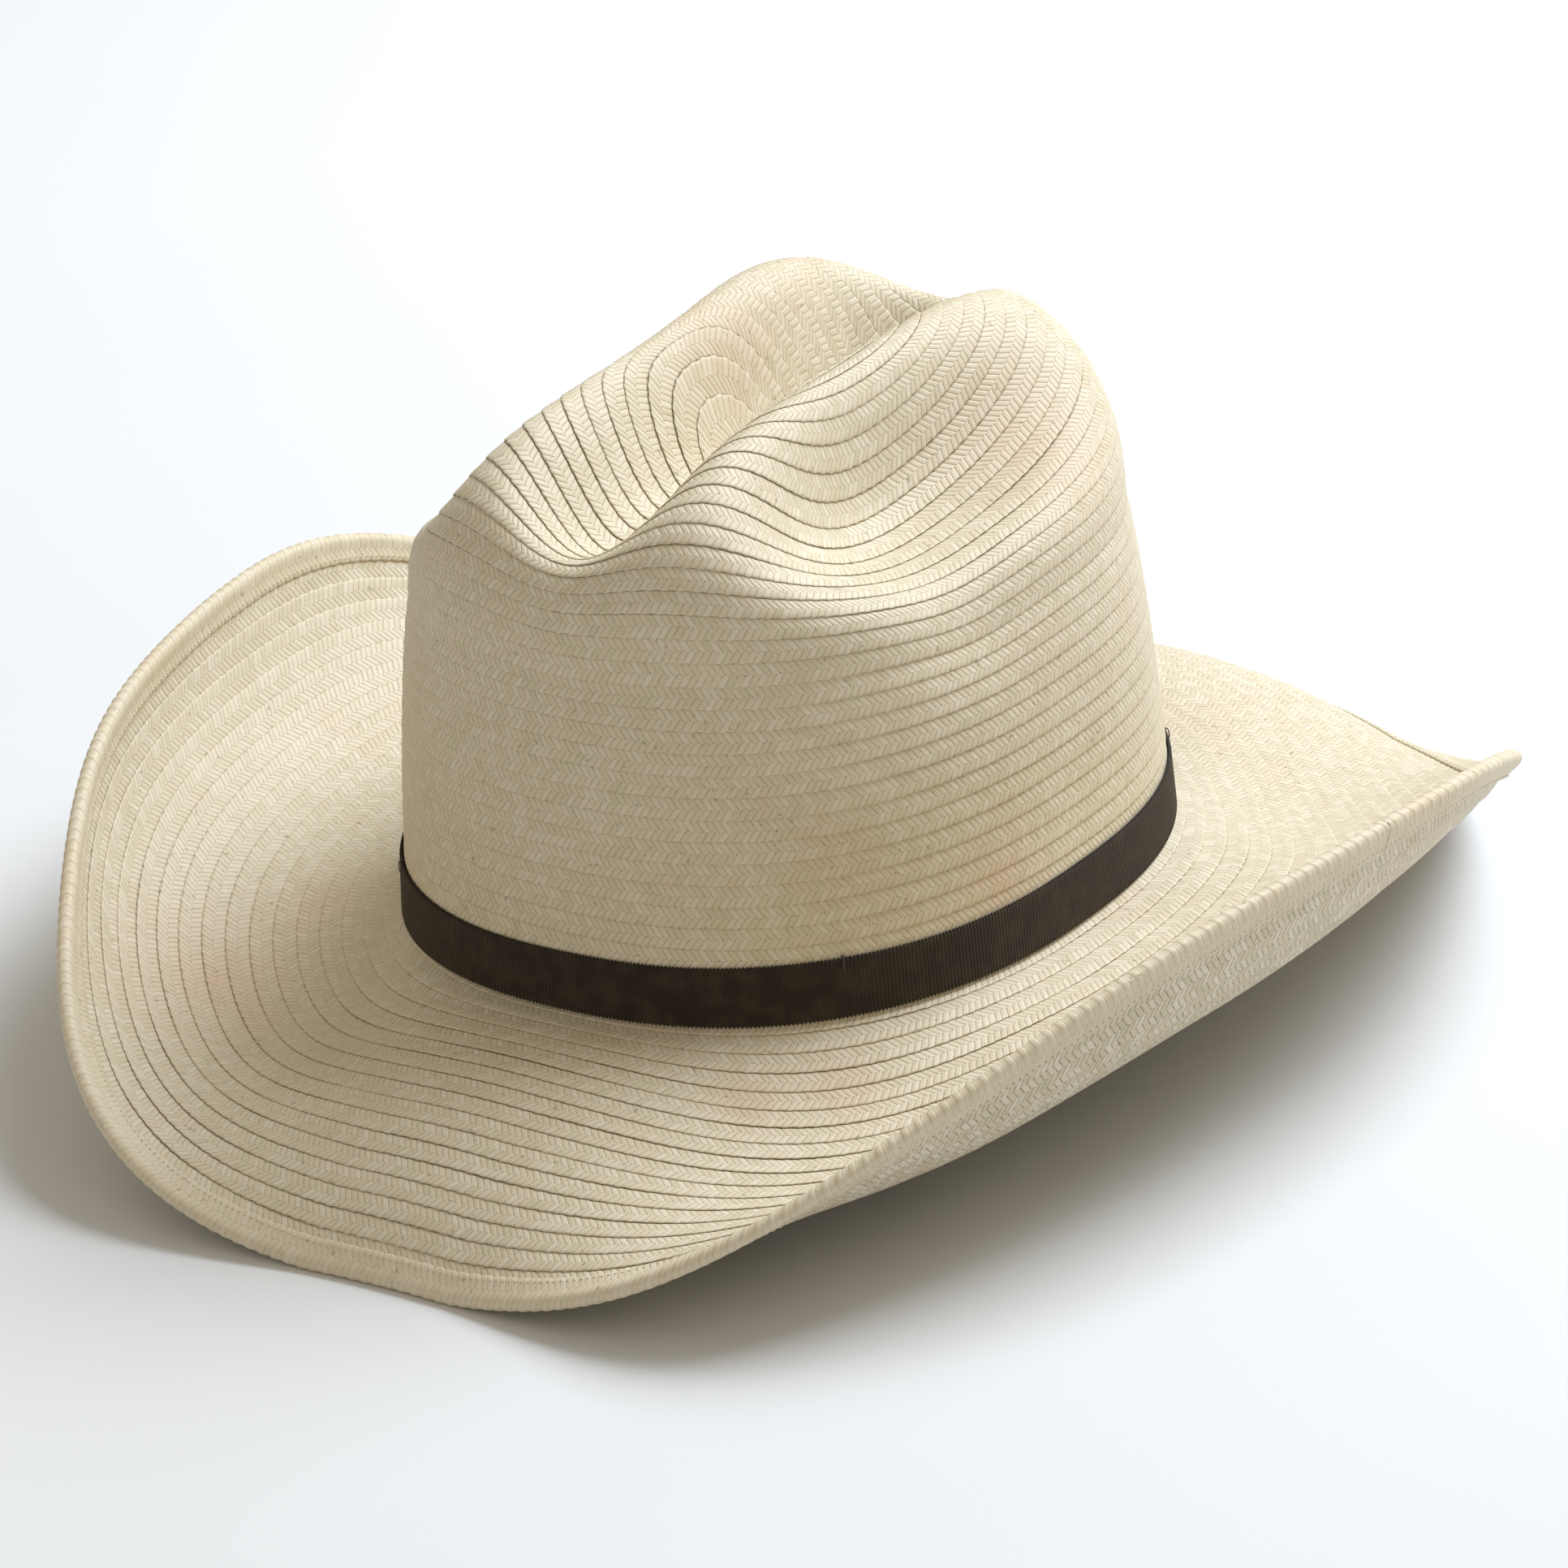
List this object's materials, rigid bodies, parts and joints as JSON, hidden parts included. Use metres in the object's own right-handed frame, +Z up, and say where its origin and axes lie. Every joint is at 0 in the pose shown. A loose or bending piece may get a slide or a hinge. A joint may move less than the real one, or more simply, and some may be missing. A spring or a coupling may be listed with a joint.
{
  "type": "cowboy hat",
  "caption": "Wide-brimmed cowboy hat of sewn palm braid with a creased crown, rolled brim sides, dark ribbon hatband and leather sweatband.",
  "frame": {"origin": "middle of the hat's outline, on the surface that the brim's low front and back edges stand on", "axes": "+Z up, the front of the hat points to -Y, and the wearer's left is +X"},
  "size_m": [0.3644, 0.3796, 0.1713],
  "materials": {
    "palm_braid": "natural palm leaf braid, matt, sewn in shingled rows",
    "palm_edge_row": "natural palm leaf braid, doubled row",
    "steel_wire": "plain drawn wire",
    "brass_sleeve": "crimped tube",
    "grosgrain": "dark brown ribbed ribbon",
    "dark_thread": "dark sewing thread",
    "sweatband_leather": "smooth tan leather",
    "clear_reed": "milky plastic",
    "cotton_tape": "woven cotton tape",
    "tan_thread": "tan sewing thread",
    "satin_bow": "dark satin ribbon",
    "tag_paper": "blank matt paper"
  },
  "bodies": {
    "root": {"crown_shell": "palm_braid", "brim_shell": "palm_braid", "brim_edge_row": "palm_edge_row", "brim_wire": "steel_wire", "wire_sleeve": "brass_sleeve", "hatband_ribbon": "grosgrain", "hatband_keeper": "grosgrain", "hatband_tack_1": "dark_thread", "hatband_tack_2": "dark_thread", "hatband_tack_3": "dark_thread", "hatband_tack_4": "dark_thread", "sweatband_leather": "sweatband_leather", "sweatband_reed": "clear_reed", "sweatband_tape": "cotton_tape", "sweatband_stitch": "tan_thread", "sweatband_bow": "satin_bow", "size_tag": "tag_paper"}
  },
  "joints": []
}
